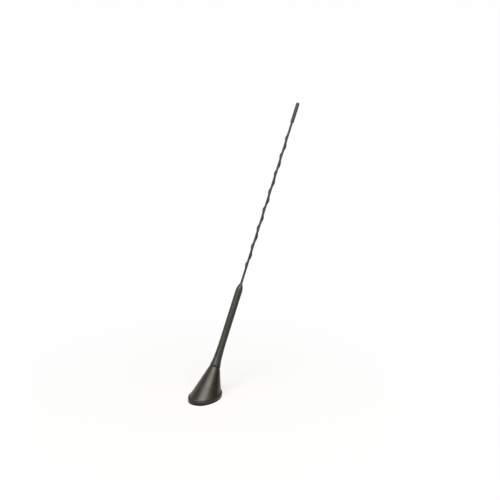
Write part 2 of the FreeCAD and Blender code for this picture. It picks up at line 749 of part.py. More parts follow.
capacitors = new_body("capacitors")
capacitor_sketch = new_sketch(capacitors, "capacitor_outlines", lift=board_top)
capacitor_x = post_x + d.post_screw_head / 2 + d.capacitor_gap + d.capacitor_width / 2
for number in range(3):
    draw_box(
        capacitor_sketch,
        capacitor_x + number * d.capacitor_pitch,
        -d.capacitor_side,
        d.capacitor_width,
        d.capacitor_length,
    )
add_pad(capacitors, capacitor_sketch, d.capacitor_height)
parts.append(capacitors)

# Coaxial jack: shell with a flange on the plate, insulator and centre pin, open downwards
jack_mouth = d.plate_lift + d.jack_recess
insulator_bottom = jack_mouth + d.jack_depth
shell = turned_piece(
    "coax_shell",
    [
        (d.jack_bore / 2, jack_mouth),
        (d.jack_diameter / 2, jack_mouth),
        (d.jack_diameter / 2, plate_top),
        (d.jack_flange_diameter / 2, plate_top),
        (d.jack_flange_diameter / 2, plate_top + d.jack_flange_height),
        (d.jack_diameter / 2, plate_top + d.jack_flange_height),
        (d.jack_diameter / 2, board_bottom),
        (d.jack_bore / 2, board_bottom),
    ],
)
parts.append(set_at(shell, jack_x))
insulator = turned_piece(
    "coax_insulator",
    [
        (pin_radius + d.push_fit, insulator_bottom),
        (d.jack_bore / 2 - d.push_fit, insulator_bottom),
        (d.jack_bore / 2 - d.push_fit, board_bottom),
        (pin_radius + d.push_fit, board_bottom),
    ],
)
parts.append(set_at(insulator, jack_x))
pin_tip = jack_mouth + d.jack_pin_recess
pin = turned_piece(
    "coax_pin",
    [
        (0, pin_tip),
        (pin_radius / 2, pin_tip),
        (pin_radius, pin_tip + pin_radius),
        (pin_radius, board_top + d.jack_pin_tail),
        (0, board_top + d.jack_pin_tail),
    ],
)
parts.append(set_at(pin, jack_x))

# Threaded insert in the neck, with a contact stub below
stud_radius = d.stud_diameter / 2
bore_radius = stud_radius + d.thread_fit
socket = turned_piece(
    "mast_socket",
    [
        (0, -d.socket_length - d.stub_length),
        (d.stub_diameter / 2, -d.socket_length - d.stub_length),
        (d.stub_diameter / 2, -d.socket_length),
        (d.socket_diameter / 2, -d.socket_length),
        (d.socket_diameter / 2, -d.socket_head_height),
        (d.socket_head_diameter / 2, -d.socket_head_height),
        (d.socket_head_diameter / 2, 0),
        (bore_radius + d.stud_chamfer, 0),
        (bore_radius, -d.stud_chamfer),
        (bore_radius, -d.socket_depth),
        (0, -d.socket_depth),
    ],
)
parts.append(set_on_mast(socket))

# Contact spring: a bent strip from the board up to the insert's stub
strip_half = d.strip_thickness / 2
touch_x = (stub_reach - strip_half) * sine(d.rake)
touch_z = (stub_reach - strip_half) * cosine(d.rake)
tongue_x = d.strip_tongue * cosine(d.rake)
tongue_z = d.strip_tongue * sine(d.rake)
foot_z = board_top + strip_half
spring = new_body("contact_spring")
spring_path = new_sketch(spring, "strip_path", "XZ_Plane")
path_points = [
    (stub_x - d.strip_foot_front, foot_z),
    (stub_x + d.strip_foot_back, foot_z),
    (touch_x + tongue_x + d.strip_bow, (foot_z + touch_z - tongue_z) / 2),
    (touch_x + tongue_x, touch_z - tongue_z),
    (touch_x - tongue_x, touch_z + tongue_z),
]
for (x, z), (next_x, next_z) in zip(path_points, path_points[1:]):
    ends = Vector(x.value, z.value, 0), Vector(next_x.value, next_z.value, 0)
    line = spring_path.addGeometry(Part.LineSegment(*ends))
    fix_point(spring_path, line, 1, x, z)
    if line:
        spring_path.addConstraint(Sketcher.Constraint("Coincident", line - 1, 2, line, 1))
fix_point(spring_path, line, 2, *path_points[-1])
strip_sketch = new_sketch(spring, "strip_section", "YZ_Plane", lift=path_points[0][0])
draw_box(strip_sketch, size(0), foot_z, d.strip_width, d.strip_thickness)
doc.recompute()
strip = spring.newObject("PartDesign::AdditivePipe", "strip")
strip.Profile = strip_sketch
strip.Spine = (spring_path, [""])
strip.Transition = "Right corner"
doc.recompute()
parts.append(spring)

# Rubber ring between neck and boot
seal = turned_piece(
    "mast_seal",
    [
        (stud_radius + d.seal_fit, 0),
        (d.seal_diameter / 2, 0),
        (d.seal_diameter / 2, d.seal_thickness),
        (stud_radius + d.seal_fit, d.seal_thickness),
    ],
)
parts.append(set_on_mast(seal))

# Ferrule: turned stud, foot and barrel in one, bored from above for the rod
shoulder = d.seal_thickness
foot_top = shoulder + d.ferrule_flange_height
rod_radius = d.rod_diameter / 2
rod_bore = rod_radius + d.push_fit
rod_bottom = d.ferrule_end - d.ferrule_depth
ferrule = turned_piece(
    "mast_ferrule",
    [
        (0, shoulder - d.stud_length),
        (stud_radius - d.stud_chamfer, shoulder - d.stud_length),
        (stud_radius, shoulder - d.stud_length + d.stud_chamfer),
        (stud_radius, shoulder),
        (d.ferrule_flange / 2, shoulder),
        (d.ferrule_flange / 2, foot_top),
        (d.ferrule_diameter / 2, foot_top),
        (d.ferrule_diameter / 2, d.ferrule_end),
        (rod_bore, d.ferrule_end),
        (rod_bore, rod_bottom),
        (0, rod_bottom),
    ],
)
parts.append(set_on_mast(ferrule))

# Boot: collar, two flare curves that run on smoothly, straight sleeve and rounded nose
boot_radius = d.boot_diameter / 2
flare_radius = d.flare_diameter / 2
mouth_radius = d.boot_mouth / 2
collar_top = shoulder + d.collar_height
upper_drop = flare_radius - boot_radius
upper_rise = d.flare_end - d.flare_start
upper_curve = (upper_drop * upper_drop + upper_rise * upper_rise) / (2 * upper_drop)
collar_radius = d.collar_diameter / 2
lower_drop = collar_radius - flare_radius
lower_rise = d.flare_start - collar_top
lower_reach = (lower_drop * (upper_curve - upper_drop) - lower_rise * upper_rise) / upper_curve
lower_curve = (lower_drop * lower_drop + lower_rise * lower_rise) / (2 * lower_reach)
nose_drop = boot_radius - mouth_radius
nose_rise = d.boot_end - d.boot_shoulder
nose_curve = (nose_drop * nose_drop + nose_rise * nose_rise) / (2 * nose_drop)
jacket_radius = d.jacket_diameter / 2
jacket_bore = jacket_radius + d.push_fit
boot = turned_piece(
    "mast_boot",
    [
        (d.ferrule_flange / 2 + d.push_fit, shoulder),
        (collar_radius - d.neck_chamfer, shoulder),
        (collar_radius, shoulder + d.neck_chamfer),
        (collar_radius, collar_top),
        (flare_radius, d.flare_start),
        (boot_radius, d.flare_end),
        (boot_radius, d.boot_shoulder),
        (mouth_radius, d.boot_end),
        (jacket_bore, d.boot_end),
        (jacket_bore, d.ferrule_end + d.push_fit),
        (d.ferrule_diameter / 2 + d.push_fit, d.ferrule_end + d.push_fit),
        (d.ferrule_diameter / 2 + d.push_fit, foot_top + d.push_fit),
        (d.ferrule_flange / 2 + d.push_fit, foot_top + d.push_fit),
    ],
    {3: (lower_curve, -1), 4: (upper_curve, -1), 6: (nose_curve, 1)},
)
parts.append(set_on_mast(boot))

# Conductor: a steel rod from the ferrule to the tip cap
cap_bottom = d.mast_length - d.cap_length
rod_start = rod_bottom + d.end_play
rod_end = cap_bottom + d.cap_depth
rod = turned_piece(
    "whip_rod",
    [
        (0, rod_start),
        (rod_radius - d.rod_chamfer, rod_start),
        (rod_radius, rod_start + d.rod_chamfer),
        (rod_radius, rod_end - d.rod_chamfer),
        (rod_radius - d.rod_chamfer, rod_end),
        (0, rod_end),
    ],
)
parts.append(set_on_mast(rod))

# Tip cap: a blind sleeve with a rounded top
cap_radius = d.cap_diameter / 2
cap = turned_piece(
    "tip_cap",
    [
        (jacket_bore, cap_bottom),
        (cap_radius - d.cap_chamfer, cap_bottom),
        (cap_radius, cap_bottom + d.cap_chamfer),
        (cap_radius, d.mast_length - cap_radius),
        (0, d.mast_length),
        (0, rod_end + d.end_play),
        (rod_bore, rod_end + d.end_play),
        (rod_bore, cap_bottom + d.jacket_lap + d.end_play),
        (jacket_bore, cap_bottom + d.jacket_lap + d.end_play),
    ],
    {3: (cap_radius, 1)},
)
parts.append(set_on_mast(cap))


# Whip jacket: a plain tube with one moulded left-hand spiral rib that fades out at both ends
def new_cylinder(name, radius, bottom, top):
    cylinder = doc.addObject("Part::Cylinder", name)
    bind(cylinder, "Radius", radius)
    bind(cylinder, "Height", top - bottom)
    bind(cylinder, "Placement.Base.z", bottom)
    return cylinder


def new_cone(name, bottom_radius, top_radius, bottom, top):
    cone = doc.addObject("Part::Cone", name)
    bind(cone, "Radius1", bottom_radius)
    bind(cone, "Radius2", top_radius)
    bind(cone, "Height", top - bottom)
    bind(cone, "Placement.Base.z", bottom)
    return cone


def turn_to_rib(item):
    bind(item, "Placement.Base.z", rib_start)
    bind(item, "Placement.Rotation.Angle", d.rib_phase)


rib_start = d.boot_end + d.rib_lead
rib_end = cap_bottom - d.rib_tail
rib_top = jacket_radius + d.rib_height
rib_foot = rod_radius
rib_sketch = doc.addObject("Sketcher::SketchObject", "rib_section")
rib_side, crest_side = d.rib_width / 2, d.rib_crest / 2
rib_bend = jacket_radius + d.rib_height / 2
bend_side = (rib_side + crest_side) / 2 + d.rib_height / 10
draw_outline(
    rib_sketch,
    [
        (rib_foot, -rib_side),
        (rib_bend, -bend_side),
        (rib_top - d.rib_height / 10, -crest_side),
        (rib_top, 0),
        (rib_top - d.rib_height / 10, crest_side),
        (rib_bend, bend_side),
        (rib_foot, rib_side),
    ],
)
turn_to_rib(rib_sketch)
rib_helix = doc.addObject("Part::Helix", "rib_line")
rib_helix.LocalCoord = "Left-handed"
bind(rib_helix, "Pitch", d.rib_pitch)
bind(rib_helix, "Height", rib_end - rib_start)
bind(rib_helix, "Radius", rib_bend)
turn_to_rib(rib_helix)
rib_sweep = doc.addObject("Part::Sweep", "rib_sweep")
rib_sweep.Sections = [rib_sketch]
rib_sweep.Spine = (rib_helix, [])
rib_sweep.Solid = True
rib_sweep.Frenet = True

# The rib stays inside a spindle that narrows to the jacket at its two ends
fade_in, fade_out = rib_start + d.rib_runout, rib_end - d.rib_runout
spindle_radius = rib_top + d.push_fit
spindle = doc.addObject("Part::MultiFuse", "rib_spindle")
spindle.Shapes = [
    new_cone("spindle_foot", rib_foot, spindle_radius, rib_start, fade_in),
    new_cylinder("spindle_middle", spindle_radius, fade_in, fade_out),
    new_cone("spindle_head", spindle_radius, rib_foot, fade_out, rib_end),
]
rib = doc.addObject("Part::Common", "rib")
rib.Base, rib.Tool = rib_sweep, spindle
jacket_start = d.ferrule_end + d.end_play
jacket_end = cap_bottom + d.jacket_lap
ribbed = doc.addObject("Part::Fuse", "ribbed_bar")
ribbed.Base = new_cylinder("jacket_bar", jacket_radius, jacket_start, jacket_end)
ribbed.Tool = rib
jacket = doc.addObject("Part::Cut", "whip_jacket")
jacket.Base = ribbed
jacket.Tool = new_cylinder("jacket_bore", rod_bore, jacket_start - d.end_play, jacket_end + d.end_play)
jacket.Label = "whip_jacket"
parts.append(set_on_mast(jacket))

doc.recompute()
for item in doc.Objects:
    if {"Invalid", "Error"} & set(item.State):
        raise RuntimeError(f"{item.Label} failed: {item.State}")
for piece in parts:
    if piece.Shape.isNull() or not piece.Shape.isValid() or not piece.Shape.Solids:
        raise RuntimeError(f"{piece.Label} has no valid solid")

os.makedirs("parts", exist_ok=True)
for piece in parts:
    piece.Shape.exportStep(f"parts/{piece.Label}.step")
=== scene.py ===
import math

import bpy
from mathutils import Matrix, Vector
from mathutils.bvhtree import BVHTree


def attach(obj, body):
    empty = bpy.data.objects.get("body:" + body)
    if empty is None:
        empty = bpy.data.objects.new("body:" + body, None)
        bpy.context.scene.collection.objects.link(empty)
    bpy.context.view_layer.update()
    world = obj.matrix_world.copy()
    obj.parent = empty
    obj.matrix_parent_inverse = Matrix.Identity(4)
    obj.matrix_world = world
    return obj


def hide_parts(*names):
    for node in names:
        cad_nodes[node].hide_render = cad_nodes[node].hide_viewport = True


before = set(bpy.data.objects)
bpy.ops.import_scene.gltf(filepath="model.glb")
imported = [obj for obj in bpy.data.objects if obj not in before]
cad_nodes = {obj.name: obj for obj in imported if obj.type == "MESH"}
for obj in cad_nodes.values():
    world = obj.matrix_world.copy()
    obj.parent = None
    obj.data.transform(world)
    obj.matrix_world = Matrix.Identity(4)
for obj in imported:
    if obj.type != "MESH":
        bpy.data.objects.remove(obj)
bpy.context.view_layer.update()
scene = bpy.context.scene
scene.view_settings.view_transform = "Standard"

MM = 0.001

# The mast's line: where it leaves the neck, and the way it leans
rake = math.radians(37.0)
neck_reach = 42.4 * MM
mast_line = Vector((math.sin(rake), 0.0, math.cos(rake)))
neck = mast_line * neck_reach
lean = Matrix.Translation(neck) @ Matrix.Rotation(rake, 4, "Y")

# Cover's cone: half axes of its oval foot on the rim, its round neck, and how far up the painted shade in
# the crease above the rim reaches
cone_foot_z = 5.2 * MM
cone_along = 27.7 * MM
cone_across = 19.0 * MM
neck_radius = 7.8 * MM
crease_reach = 1.7 * MM

# Threads: the mast's stud, with heights from the neck up, and the roof bolt's hole
stud_radius = 2.5 * MM
stud_core = 2.05 * MM
stud_pitch = 0.8 * MM
stud_shoulder = 0.9 * MM
stud_thread_low = -7.1 * MM
stud_turns = 9
bolt_core = 2.5 * MM
bolt_radius = 2.94 * MM
bolt_pitch = 1.0 * MM
bolt_mouth = 1.0 * MM
bolt_end = 9.0 * MM
bolt_thread_low = 1.6 * MM
bolt_turns = 7
thread_sink = 0.05 * MM

# How near a vertex lies to a threaded wall, and to that wall's ends
wall_margin = 0.03 * MM
shoulder_margin = 0.02 * MM
end_margin = 0.1 * MM


def way_out(azimuth, elevation):
    """The way from the antenna to a place round it, by its angles from the front and from the floor."""
    turn, rise = math.radians(azimuth), math.radians(elevation)
    return Vector((math.sin(turn) * math.cos(rise), -math.cos(turn) * math.cos(rise), math.sin(rise)))


# Camera in front of the base, a little above it
camera_aim = Vector((0.120, 0.0, 0.180))
camera_distance = 2.0
camera_azimuth, camera_elevation = -60.99, 18.18
to_camera = way_out(camera_azimuth, camera_elevation)
camera_data = bpy.data.cameras.new("camera")
camera_data.sensor_width = 36.0
camera_data.lens = 104.9
camera_data.shift_x = 0.003
camera_data.shift_y = -0.0082
camera = bpy.data.objects.new("camera", camera_data)
camera.location = camera_aim + to_camera * camera_distance
camera.rotation_euler = to_camera.to_track_quat("Z", "Y").to_euler()
scene.collection.objects.link(camera)
scene.camera = camera


# Shared effects
def new_group(name, inputs, outputs):
    """An empty node group with its sockets, and its two ends."""
    group = bpy.data.node_groups.new(name, "ShaderNodeTree")
    for label, kind, value in inputs:
        socket = group.interface.new_socket(label, in_out="INPUT", socket_type=kind)
        if value is not None:
            socket.default_value = value
    for label, kind in outputs:
        group.interface.new_socket(label, in_out="OUTPUT", socket_type=kind)
    return group, group.nodes.new("NodeGroupInput"), group.nodes.new("NodeGroupOutput")


def add_noise(tree, vector, scale, detail=2.0, roughness=0.5):
    """A noise texture fed by a vector; its scale is a number or a socket."""
    noise = tree.nodes.new("ShaderNodeTexNoise")
    noise.inputs["Detail"].default_value = detail
    noise.inputs["Roughness"].default_value = roughness
    tree.links.new(vector, noise.inputs["Vector"])
    if isinstance(scale, (int, float)):
        noise.inputs["Scale"].default_value = scale
    else:
        tree.links.new(scale, noise.inputs["Scale"])
    return noise.outputs["Fac"]


def add_math(tree, operation, first, second, clamp=False):
    """A math node on two sockets or numbers."""
    node = tree.nodes.new("ShaderNodeMath")
    node.operation = operation
    node.use_clamp = clamp
    for socket, value in zip(node.inputs, (first, second)):
        if isinstance(value, (int, float)):
            socket.default_value = value
        else:
            tree.links.new(value, socket)
    return node.outputs[0]


def add_range(tree, value, low, high, to_low, to_high):
    """A value moved from one range into another, and held inside it."""
    node = tree.nodes.new("ShaderNodeMapRange")
    for label, number in zip(("From Min", "From Max", "To Min", "To Max"), (low, high, to_low, to_high)):
        node.inputs[label].default_value = number
    tree.links.new(value, node.inputs["Value"])
    return node.outputs["Result"]


def add_mix(tree, share, first, second):
    """A colour between two colours or sockets."""
    node = tree.nodes.new("ShaderNodeMix")
    node.data_type = "RGBA"
    tree.links.new(share, node.inputs["Factor"])
    for label, value in (("A", first), ("B", second)):
        socket = [s for s in node.inputs if s.name == label and s.type == "RGBA"][0]
        if isinstance(value, tuple):
            socket.default_value = value
        else:
            tree.links.new(value, socket)
    return [s for s in node.outputs if s.type == "RGBA"][0]


def make_moulded_grain():
    """Fine pits of a mould's surface, and a slow mottling across it."""
    group, start, end = new_group(
        "moulded_grain",
        [("Vector", "NodeSocketVector", None), ("Grain", "NodeSocketFloat", 2200.0),
         ("Mottling", "NodeSocketFloat", 55.0)],
        [("Height", "NodeSocketFloat"), ("Mottle", "NodeSocketFloat")],
    )
    vector = start.outputs["Vector"]
    fine = add_noise(group, vector, start.outputs["Grain"], detail=3.0, roughness=0.6)
    coarse_scale = add_math(group, "MULTIPLY", start.outputs["Grain"], 0.31)
    coarse = add_noise(group, vector, coarse_scale, detail=1.0)
    height = add_math(group, "ADD", fine, add_math(group, "MULTIPLY", coarse, 0.6))
    mottle = add_noise(group, vector, start.outputs["Mottling"], detail=4.0, roughness=0.55)
    group.links.new(height, end.inputs["Height"])
    group.links.new(add_range(group, mottle, 0.3, 0.7, 0.0, 1.0), end.inputs["Mottle"])
    return group


def make_settled_dust():
    """Dust that lies on what faces up, in patches and specks."""
    group, start, end = new_group(
        "settled_dust",
        [("Vector", "NodeSocketVector", None), ("Amount", "NodeSocketFloat", 0.1)],
        [("Mask", "NodeSocketFloat")],
    )
    vector = start.outputs["Vector"]
    geometry = group.nodes.new("ShaderNodeNewGeometry")
    split = group.nodes.new("ShaderNodeSeparateXYZ")
    group.links.new(geometry.outputs["Normal"], split.inputs[0])
    upward = add_range(group, split.outputs["Z"], 0.1, 1.0, 0.0, 1.0)
    cloud = add_noise(group, vector, 90.0, detail=5.0, roughness=0.65)
    patches = add_range(group, cloud, 0.38, 0.68, 0.2, 1.0)
    specks = add_range(group, add_noise(group, vector, 1500.0), 0.62, 0.72, 0.0, 1.0)
    film = add_math(group, "MAXIMUM", patches, specks)
    mask = add_math(group, "MULTIPLY", add_math(group, "MULTIPLY", upward, film), start.outputs["Amount"])
    group.links.new(mask, end.inputs["Mask"])
    return group


def make_fine_scratches():
    """Hairline rub marks in two directions."""
    group, start, end = new_group(
        "fine_scratches",
        [("Vector", "NodeSocketVector", None), ("Scale", "NodeSocketFloat", 300.0)],
        [("Mask", "NodeSocketFloat")],
    )
    marks = []
    for turn, stretch in ((0.5, (1.0, 14.0, 1.0)), (-0.9, (12.0, 1.0, 1.0))):
        mapping = group.nodes.new("ShaderNodeMapping")
        mapping.inputs["Rotation"].default_value = (turn, turn * 0.6, turn * 1.3)
        mapping.inputs["Scale"].default_value = stretch
        group.links.new(start.outputs["Vector"], mapping.inputs["Vector"])
        lines = add_noise(group, mapping.outputs["Vector"], start.outputs["Scale"], detail=1.0)
        marks.append(add_range(group, lines, 0.66, 0.74, 0.0, 1.0))
    group.links.new(add_math(group, "MAXIMUM", *marks), end.inputs["Mask"])
    return group


def make_painted_crease_shade():
    """Painted shade in a crease: a dark line at one height, fading out above it."""
    group, start, end = new_group(
        "painted_crease_shade",
        [("Vector", "NodeSocketVector", None), ("Crease", "NodeSocketFloat", 0.005),
         ("Reach", "NodeSocketFloat", 0.0015)],
        [("Mask", "NodeSocketFloat")],
    )
    split = group.nodes.new("ShaderNodeSeparateXYZ")
    group.links.new(start.outputs["Vector"], split.inputs[0])
    rise = add_math(group, "SUBTRACT", split.outputs["Z"], start.outputs["Crease"])
    part_up = add_math(group, "DIVIDE", rise, start.outputs["Reach"], clamp=True)
    fade = add_math(group, "SUBTRACT", 1.0, part_up, clamp=True)
    above = add_math(group, "GREATER_THAN", rise, -0.05 * MM)
    cloud = add_noise(group, start.outputs["Vector"], 220.0, detail=3.0)
    patches = add_range(group, cloud, 0.3, 0.7, 0.75, 1.0)
    mask = add_math(group, "MULTIPLY", add_math(group, "MULTIPLY", fade, above), patches)
    group.links.new(mask, end.inputs["Mask"])
    return group


moulded_grain = make_moulded_grain()
settled_dust = make_settled_dust()
fine_scratches = make_fine_scratches()
painted_crease_shade = make_painted_crease_shade()


# Finishes
DUST = (0.30, 0.28, 0.25, 1.0)
rub_share = 0.12
rub_lightness = 1.9
# Painted shade in a crease: how far it darkens the colour, and how much rougher it makes the surface
crease_shade_darkness = 0.15
crease_roughness = 0.55


def new_material(name, **sockets):
    """A material with its plain numbers set, its node tree, shader and object coordinates."""
    material = bpy.data.materials.new(name)
    material.use_nodes = True
    tree = material.node_tree
    shader = tree.nodes["Principled BSDF"]
    for label, value in sockets.items():
        shader.inputs[label.replace("_", " ")].default_value = value
    coordinates = tree.nodes.new("ShaderNodeTexCoord").outputs["Object"]
    return material, tree, shader, coordinates


def add_effect(tree, group, coordinates, **values):
    """A shared effect placed in a material with its own values."""
    node = tree.nodes.new("ShaderNodeGroup")
    node.node_tree = group
    tree.links.new(coordinates, node.inputs["Vector"])
    for label, value in values.items():
        node.inputs[label].default_value = value
    return node


def shade(colour, factor):
    """A colour made darker or lighter."""
    return tuple(min(1.0, c * factor) for c in colour) + (1.0,)


def add_relief(tree, shader, height, depth, strength):
    """Surface relief of a given depth, in metres."""
    bump = tree.nodes.new("ShaderNodeBump")
    bump.inputs["Strength"].default_value = strength
    bump.inputs["Distance"].default_value = depth
    tree.links.new(height, bump.inputs["Height"])
    tree.links.new(bump.outputs["Normal"], shader.inputs["Normal"])


def moulded(name, colour, roughness, grain, depth, dust, gloss, crease=None):
    """Moulded plastic or rubber: grain, mottling, rub marks and a little dust; a crease gets painted shade
    and is duller.
    """
    material, tree, shader, coordinates = new_material(name, Specular_IOR_Level=gloss)
    skin = add_effect(tree, moulded_grain, coordinates, Grain=grain)
    rubbed = add_effect(tree, fine_scratches, coordinates, Scale=260.0)
    film = add_effect(tree, settled_dust, coordinates, Amount=dust)
    tone = add_mix(tree, skin.outputs["Mottle"], shade(colour, 0.88), shade(colour, 1.12))
    rub = add_math(tree, "MULTIPLY", rubbed.outputs["Mask"], rub_share)
    marked = add_mix(tree, rub, tone, shade(colour, rub_lightness))
    surface = add_mix(tree, film.outputs["Mask"], marked, DUST)
    uneven = add_range(tree, skin.outputs["Mottle"], 0.0, 1.0, roughness - 0.05, roughness + 0.05)
    if crease:
        height, reach = crease
        crease_shade_mask = add_effect(tree, painted_crease_shade, coordinates, Crease=height, Reach=reach).outputs["Mask"]
        # Painted shade: the colour darkens in the crease, where shade falls
        surface = add_mix(tree, crease_shade_mask, surface, shade(colour, crease_shade_darkness))
        uneven = add_math(tree, "ADD", uneven, add_math(tree, "MULTIPLY", crease_shade_mask, crease_roughness))
    tree.links.new(surface, shader.inputs["Base Color"])
    dulled = add_math(tree, "ADD", uneven, film.outputs["Mask"], clamp=True)
    tree.links.new(dulled, shader.inputs["Roughness"])
    add_relief(tree, shader, skin.outputs["Height"], depth, strength=0.35)
    return material


def metal(name, colour, roughness, grain, depth):
    """Bare or plated metal: faint clouding, rub marks and a fine surface."""
    material, tree, shader, coordinates = new_material(name, Metallic=1.0)
    skin = add_effect(tree, moulded_grain, coordinates, Grain=grain, Mottling=180.0)
    rubbed = add_effect(tree, fine_scratches, coordinates, Scale=520.0)
    tone = add_mix(tree, skin.outputs["Mottle"], shade(colour, 0.82), shade(colour, 1.05))
    tree.links.new(tone, shader.inputs["Base Color"])
    cloud = add_range(tree, skin.outputs["Mottle"], 0.0, 1.0, roughness - 0.07, roughness + 0.09)
    worn = add_math(tree, "MULTIPLY", rubbed.outputs["Mask"], -0.1)
    tree.links.new(add_math(tree, "ADD", cloud, worn, clamp=True), shader.inputs["Roughness"])
    add_relief(tree, shader, skin.outputs["Height"], depth, strength=0.3)
    return material


# The crease above the cover's rim carries painted shade
cover_moulding = moulded(
    "cover_moulding", (0.0185, 0.0149, 0.0103), roughness=0.33, grain=1900.0, depth=0.06 * MM,
    dust=0.03, gloss=0.33, crease=(cone_foot_z, crease_reach))
gasket_rubber = moulded(
    "gasket_rubber", (0.012, 0.012, 0.011), roughness=0.70, grain=1500.0, depth=0.04 * MM,
    dust=0.03, gloss=0.15)
seal_rubber = moulded(
    "seal_rubber", (0.008, 0.008, 0.008), roughness=0.62, grain=1500.0, depth=0.03 * MM,
    dust=0.0, gloss=0.15)
boot_rubber = moulded(
    "boot_rubber", (0.0250, 0.0243, 0.0187), roughness=0.36, grain=1600.0, depth=0.05 * MM,
    dust=0.03, gloss=0.30)
whip_moulding = moulded(
    "whip_moulding", (0.035, 0.035, 0.0325), roughness=0.42, grain=2400.0, depth=0.03 * MM,
    dust=0.02, gloss=0.20)
cap_moulding = moulded(
    "cap_moulding", (0.041, 0.041, 0.038), roughness=0.42, grain=2600.0, depth=0.02 * MM,
    dust=0.02, gloss=0.20)
board_laminate = moulded(
    "board_laminate", (0.03, 0.17, 0.06), roughness=0.38, grain=2600.0, depth=0.03 * MM,
    dust=0.0, gloss=0.5)
chip_moulding = moulded(
    "chip_moulding", (0.018, 0.018, 0.018), roughness=0.55, grain=4200.0, depth=0.02 * MM,
    dust=0.0, gloss=0.4)
ferrite = moulded(
    "ferrite", (0.055, 0.050, 0.050), roughness=0.60, grain=2400.0, depth=0.05 * MM,
    dust=0.0, gloss=0.4)
ceramic = moulded(
    "ceramic", (0.42, 0.29, 0.17), roughness=0.42, grain=3600.0, depth=0.01 * MM,
    dust=0.0, gloss=0.5)
jack_insulator = moulded(
    "jack_insulator", (0.72, 0.71, 0.68), roughness=0.40, grain=2600.0, depth=0.01 * MM,
    dust=0.0, gloss=0.5)
zinc_casting = metal("zinc_casting", (0.50, 0.51, 0.52), roughness=0.48, grain=1300.0, depth=0.08 * MM)
plated_steel = metal("plated_steel", (0.62, 0.62, 0.60), roughness=0.28, grain=3200.0, depth=0.01 * MM)
turned_nickel = metal("turned_nickel", (0.66, 0.64, 0.60), roughness=0.22, grain=3600.0, depth=0.01 * MM)
turned_brass = metal("turned_brass", (0.74, 0.56, 0.26), roughness=0.26, grain=3200.0, depth=0.01 * MM)
spring_bronze = metal("spring_bronze", (0.72, 0.50, 0.28), roughness=0.30, grain=3200.0, depth=0.01 * MM)


# Modelling steps
def deselect():
    """Nothing is selected."""
    bpy.ops.object.select_all(action="DESELECT")


def pick(piece):
    """Only this piece is selected and active."""
    deselect()
    piece.select_set(True)
    bpy.context.view_layer.objects.active = piece


def edit(piece):
    """Edit mode, with the whole mesh selected."""
    pick(piece)
    bpy.ops.object.mode_set(mode="EDIT")
    bpy.ops.mesh.select_all(action="SELECT")


def done():
    """Back from edit mode."""
    bpy.ops.object.mode_set(mode="OBJECT")


def place(piece, matrix):
    """Moves a piece's mesh, and leaves its object at the origin."""
    pick(piece)
    piece.matrix_world = matrix @ piece.matrix_world
    bpy.ops.object.transform_apply(location=True, rotation=True, scale=True)


def finish_piece(piece, body, material, replaced, angle):
    """Finish, smooth shading, and the piece's place among the solids."""
    piece.data.materials.clear()
    piece.data.materials.append(material)
    pick(piece)
    bpy.ops.object.shade_smooth_by_angle(angle=math.radians(angle))
    even = piece.modifiers.new("even_normals", "WEIGHTED_NORMAL")
    even.mode = "FACE_AREA"
    even.weight = 50
    even.keep_sharp = True
    bpy.ops.object.modifier_apply(modifier="even_normals")
    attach(piece, body)
    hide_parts(replaced)
    return piece


def merged_copy(name, node):
    """A solid's mesh as one closed skin."""
    piece = bpy.data.objects.new(name, cad_nodes[node].data.copy())
    scene.collection.objects.link(piece)
    edit(piece)
    bpy.ops.mesh.remove_doubles(threshold=0.002 * MM)
    done()
    bpy.ops.mesh.customdata_custom_splitnormals_clear()
    return piece


def dress(name, node, body, material, angle=34.0):
    """A solid shown smooth, in its finish."""
    return finish_piece(merged_copy(name, node), body, material, node, angle)


def scale_round_axis(piece, chosen, factor):
    """Moves the chosen vertices towards the Z axis, or away from it."""
    edit(piece)
    bpy.ops.mesh.select_mode(type="VERT")
    bpy.ops.mesh.select_all(action="DESELECT")
    done()
    for vertex in piece.data.vertices:
        vertex.select = chosen(math.hypot(vertex.co.x, vertex.co.y), vertex.co.z)
    bpy.ops.object.mode_set(mode="EDIT")
    bpy.ops.transform.resize(value=(factor, factor, 1.0), center_override=(0.0, 0.0, 0.0))
    done()


def thread_ridge(name, root, crest, pitch, turns, low, steps=40):
    """A right-hand thread's ridge about Z: one tooth's outline, wound upwards and run out at both ends."""
    foot_half, crest_half = 0.44 * pitch, 0.07 * pitch
    outline = ((root, -foot_half), (crest, -crest_half), (crest, crest_half), (root, foot_half))
    deselect()
    bpy.ops.mesh.primitive_circle_add(
        vertices=len(outline), radius=pitch, fill_type="NOTHING", location=(0.0, 0.0, 0.0))
    piece = bpy.context.object
    piece.name = name
    for vertex, (radius, rise) in zip(piece.data.vertices, outline):
        vertex.co = (radius, 0.0, low + rise)
    winding = piece.modifiers.new("winding", "SCREW")
    winding.axis = "Z"
    winding.angle = math.tau
    winding.screw_offset = pitch
    winding.iterations = turns
    winding.steps = steps
    winding.render_steps = steps
    pick(piece)
    bpy.ops.object.modifier_apply(modifier="winding")
    last, run_out, least_height = turns * steps, steps // 3, 0.02
    for number, vertex in enumerate(piece.data.vertices):
        step = number // len(outline)
        share = min(1.0, step / run_out, (last - step) / run_out)
        radius = math.hypot(vertex.co.x, vertex.co.y)
        vertex.co.xy *= (root + (radius - root) * max(share, least_height)) / radius
    edit(piece)
    bpy.ops.mesh.fill_holes(sides=len(outline))
    bpy.ops.mesh.select_all(action="SELECT")
    bpy.ops.mesh.normals_make_consistent(inside=False)
    done()
    return piece


def join(piece, other):
    """Takes another piece's mesh into a piece."""
    pick(piece)
    other.select_set(True)
    bpy.ops.object.join()


